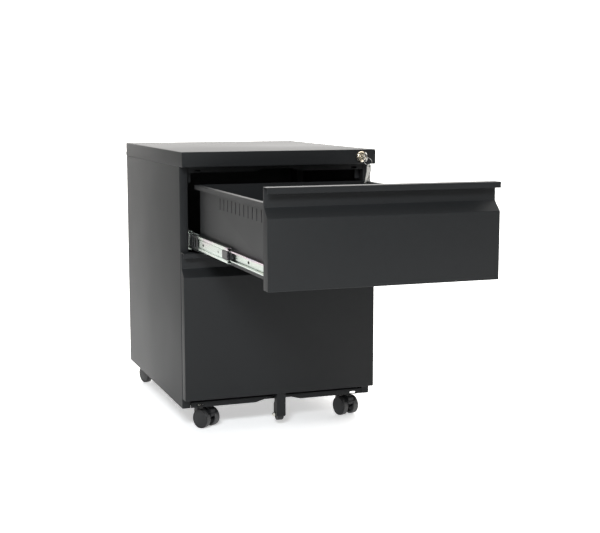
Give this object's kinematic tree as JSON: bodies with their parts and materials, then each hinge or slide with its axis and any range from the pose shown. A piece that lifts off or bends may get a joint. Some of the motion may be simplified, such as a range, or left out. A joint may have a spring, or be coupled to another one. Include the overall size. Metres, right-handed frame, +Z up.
{
  "type": "rolling pedestal cabinet",
  "caption": "Low steel drawer pedestal on twin-wheel castors, with full-width finger-pull drawers on ball-bearing slides, a top-edge lock with keys and an anti-tip wheel.",
  "frame": {"origin": "on the floor, under the middle of the plane of the closed drawer fronts", "axes": "+Z up, +Y from the front plane to the back of the case, +X to the case's right-hand side seen from the front; drawers open towards -Y"},
  "size_m": [0.39, 1, 0.54],
  "materials": {
    "powder_coat": "fine-textured charcoal powder coat, satin",
    "slide_zinc": "bright zinc-plated roll-formed steel with a faint blue and pink sheen",
    "bright_zinc": "yellowish zinc-plated steel",
    "lock_nickel": "polished nickel",
    "key_steel": "nickel-plated steel, lightly worn",
    "black_nylon": "black moulded nylon, slight sheen",
    "castor_tread": "black nylon disc with a dark grey tread"
  },
  "bodies": {
    "cabinet": {"top_panel": "powder_coat", "side_panel_left": "powder_coat", "side_panel_right": "powder_coat", "back_panel": "powder_coat", "base_panel": "powder_coat", "front_top_rail": "powder_coat", "front_bottom_rail": "powder_coat", "rear_upright_left": "powder_coat", "rear_upright_right": "powder_coat", "upper_slide_outer_left": "slide_zinc", "upper_slide_outer_right": "slide_zinc", "lower_slide_outer_left": "slide_zinc", "lower_slide_outer_right": "slide_zinc", "lock_barrel": "lock_nickel", "castor_stem_front_left": "bright_zinc", "castor_stem_front_right": "bright_zinc", "castor_stem_rear_left": "bright_zinc", "castor_stem_rear_right": "bright_zinc"},
    "upper_drawer": {"upper_drawer_front": "powder_coat", "upper_drawer_inner_front": "powder_coat", "upper_drawer_side_left": "powder_coat", "upper_drawer_side_right": "powder_coat", "upper_drawer_bottom": "powder_coat", "upper_drawer_back": "powder_coat", "upper_slide_inner_left": "slide_zinc", "upper_slide_inner_right": "slide_zinc"},
    "upper_slide_middles": {"upper_slide_middle_left": "slide_zinc", "upper_slide_middle_right": "slide_zinc"},
    "lower_drawer": {"lower_drawer_front": "powder_coat", "lower_drawer_inner_front": "powder_coat", "lower_drawer_side_left": "powder_coat", "lower_drawer_side_right": "powder_coat", "lower_drawer_bottom": "powder_coat", "lower_drawer_back": "powder_coat", "lower_slide_inner_left": "slide_zinc", "lower_slide_inner_right": "slide_zinc", "anti_tip_bracket": "powder_coat", "anti_tip_axle": "bright_zinc"},
    "lower_slide_middles": {"lower_slide_middle_left": "slide_zinc", "lower_slide_middle_right": "slide_zinc"},
    "anti_tip_wheel": {"anti_tip_wheel": "black_nylon"},
    "castor_front_left": {"castor_hood_front_left": "black_nylon"},
    "castor_front_left_wheel_left": {"castor_wheel_front_left_left": "castor_tread"},
    "castor_front_left_wheel_right": {"castor_wheel_front_left_right": "castor_tread"},
    "castor_front_right": {"castor_hood_front_right": "black_nylon"},
    "castor_front_right_wheel_left": {"castor_wheel_front_right_left": "castor_tread"},
    "castor_front_right_wheel_right": {"castor_wheel_front_right_right": "castor_tread"},
    "castor_rear_left": {"castor_hood_rear_left": "black_nylon"},
    "castor_rear_left_wheel_left": {"castor_wheel_rear_left_left": "castor_tread"},
    "castor_rear_left_wheel_right": {"castor_wheel_rear_left_right": "castor_tread"},
    "castor_rear_right": {"castor_hood_rear_right": "black_nylon"},
    "castor_rear_right_wheel_left": {"castor_wheel_rear_right_left": "castor_tread"},
    "castor_rear_right_wheel_right": {"castor_wheel_rear_right_right": "castor_tread"},
    "lock_core": {"lock_core": "lock_nickel", "lock_cam": "bright_zinc", "key": "key_steel"},
    "lock_bar": {"lock_bar": "bright_zinc"},
    "key_ring": {"key_ring": "key_steel"}
  },
  "joints": [
    {"name": "upper_drawer_slide", "type": "slide", "parent": "cabinet", "child": "upper_drawer", "axis": [0, -1, 0], "range_m": [-0.5, 0]},
    {"name": "upper_middles_slide", "type": "slide", "parent": "cabinet", "child": "upper_slide_middles", "axis": [0, -1, 0], "range_m": [-0.25, 0]},
    {"name": "lower_drawer_slide", "type": "slide", "parent": "cabinet", "child": "lower_drawer", "axis": [0, -1, 0], "range_m": [0, 0.5]},
    {"name": "lower_middles_slide", "type": "slide", "parent": "cabinet", "child": "lower_slide_middles", "axis": [0, -1, 0], "range_m": [0, 0.25]},
    {"name": "anti_tip_wheel_spin", "type": "hinge", "parent": "lower_drawer", "child": "anti_tip_wheel", "pos_m": [0, 0.0175, 0.0215], "axis": [1, 0, 0], "continuous": true},
    {"name": "lock_turn", "type": "hinge", "parent": "cabinet", "child": "lock_core", "pos_m": [0.1635, 0, 0.52575], "axis": [0, 1, 0], "range_deg": [0, 90]},
    {"name": "lock_bar_lift", "type": "slide", "parent": "cabinet", "child": "lock_bar", "axis": [0, 0, 1], "range_m": [0, 0.0142]},
    {"name": "key_ring_hang", "type": "hinge", "parent": "lock_core", "child": "key_ring", "pos_m": [0.1655, -0.022, 0.51475], "axis": [0, 1, 0], "range_deg": [-90, 0]},
    {"name": "castor_front_left_swivel", "type": "hinge", "parent": "cabinet", "child": "castor_front_left", "pos_m": [-0.149, 0.067, 0.03], "axis": [0, 0, 1], "continuous": true},
    {"name": "castor_front_left_wheel_left_spin", "type": "hinge", "parent": "castor_front_left", "child": "castor_front_left_wheel_left", "pos_m": [-0.13946, 0.05174, 0.019], "axis": [0.848, 0.5299, 0], "continuous": true},
    {"name": "castor_front_left_wheel_right_spin", "type": "hinge", "parent": "castor_front_left", "child": "castor_front_left_wheel_right", "pos_m": [-0.13946, 0.05174, 0.019], "axis": [0.848, 0.5299, 0], "continuous": true},
    {"name": "castor_front_right_swivel", "type": "hinge", "parent": "cabinet", "child": "castor_front_right", "pos_m": [0.149, 0.067, 0.03], "axis": [0, 0, 1], "continuous": true},
    {"name": "castor_front_right_wheel_left_spin", "type": "hinge", "parent": "castor_front_right", "child": "castor_front_right_wheel_left", "pos_m": [0.15396, 0.0497, 0.019], "axis": [0.9613, 0.2756, 0], "continuous": true},
    {"name": "castor_front_right_wheel_right_spin", "type": "hinge", "parent": "castor_front_right", "child": "castor_front_right_wheel_right", "pos_m": [0.15396, 0.0497, 0.019], "axis": [0.9613, 0.2756, 0], "continuous": true},
    {"name": "castor_rear_left_swivel", "type": "hinge", "parent": "cabinet", "child": "castor_rear_left", "pos_m": [-0.149, 0.45, 0.03], "axis": [0, 0, 1], "continuous": true},
    {"name": "castor_rear_left_wheel_left_spin", "type": "hinge", "parent": "castor_rear_left", "child": "castor_rear_left_wheel_left", "pos_m": [-0.15516, 0.46691, 0.019], "axis": [-0.9397, -0.342, 0], "continuous": true},
    {"name": "castor_rear_left_wheel_right_spin", "type": "hinge", "parent": "castor_rear_left", "child": "castor_rear_left_wheel_right", "pos_m": [-0.15516, 0.46691, 0.019], "axis": [-0.9397, -0.342, 0], "continuous": true},
    {"name": "castor_rear_right_swivel", "type": "hinge", "parent": "cabinet", "child": "castor_rear_right", "pos_m": [0.149, 0.45, 0.03], "axis": [0, 0, 1], "continuous": true},
    {"name": "castor_rear_right_wheel_left_spin", "type": "hinge", "parent": "castor_rear_right", "child": "castor_rear_right_wheel_left", "pos_m": [0.15516, 0.46691, 0.019], "axis": [-0.9397, 0.342, 0], "continuous": true},
    {"name": "castor_rear_right_wheel_right_spin", "type": "hinge", "parent": "castor_rear_right", "child": "castor_rear_right_wheel_right", "pos_m": [0.15516, 0.46691, 0.019], "axis": [-0.9397, 0.342, 0], "continuous": true}
  ],
  "couplings": [
    {"joint": "upper_middles_slide", "follows": "upper_drawer_slide", "ratio": 0.5},
    {"joint": "lower_middles_slide", "follows": "lower_drawer_slide", "ratio": 0.5},
    {"joint": "lock_bar_lift", "follows": "lock_turn", "m_per_rad": 0.009},
    {"joint": "key_ring_hang", "follows": "lock_turn", "ratio": -1}
  ]
}
